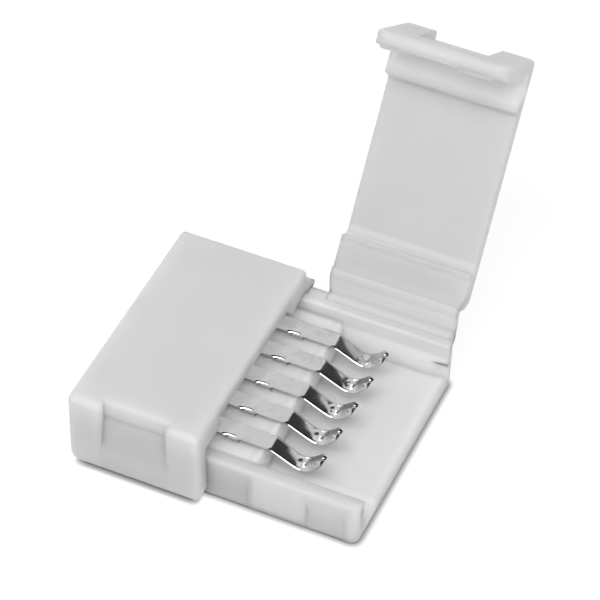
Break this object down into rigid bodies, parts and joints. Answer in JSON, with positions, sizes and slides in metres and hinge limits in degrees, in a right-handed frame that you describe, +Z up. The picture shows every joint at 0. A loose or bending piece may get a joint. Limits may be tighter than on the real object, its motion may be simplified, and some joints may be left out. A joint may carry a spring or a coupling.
{
  "type": "led strip connector",
  "caption": "Solderless snap connector that joins two flat LED strips: a plastic base with sprung contacts through its middle and two hinged snap lids.",
  "frame": {"origin": "the middle of the base's underside, on the surface it rests on", "axes": "+X along the strips from the shut lid towards the open lid, +Y towards the hinges, +Z up out of the base"},
  "size_m": [0.0184, 0.0265, 0.0206],
  "materials": {
    "milky_plastic": "translucent milky white moulded plastic, satin",
    "tinned_metal": "bright tin plating on stamped spring strip"
  },
  "bodies": {
    "base_body": {"base": "milky_plastic", "contact_1": "tinned_metal", "contact_2": "tinned_metal", "contact_3": "tinned_metal", "contact_4": "tinned_metal", "contact_5": "tinned_metal", "left_hinge_film": "milky_plastic", "right_hinge_film": "milky_plastic"},
    "left_lid_body": {"left_lid": "milky_plastic"},
    "right_lid_body": {"right_lid": "milky_plastic"}
  },
  "joints": [
    {"name": "left_lid_hinge", "type": "hinge", "parent": "base_body", "child": "left_lid_body", "pos_m": [0, 0.00799, 0.00462], "axis": [-1, 0, 0], "range_deg": [0, 180], "deforming": ["left_hinge_film"]},
    {"name": "right_lid_hinge", "type": "hinge", "parent": "base_body", "child": "right_lid_body", "pos_m": [0, 0.00799, 0.00462], "axis": [-1, 0, 0], "range_deg": [-123.4, 56.6], "deforming": ["right_hinge_film"]}
  ]
}
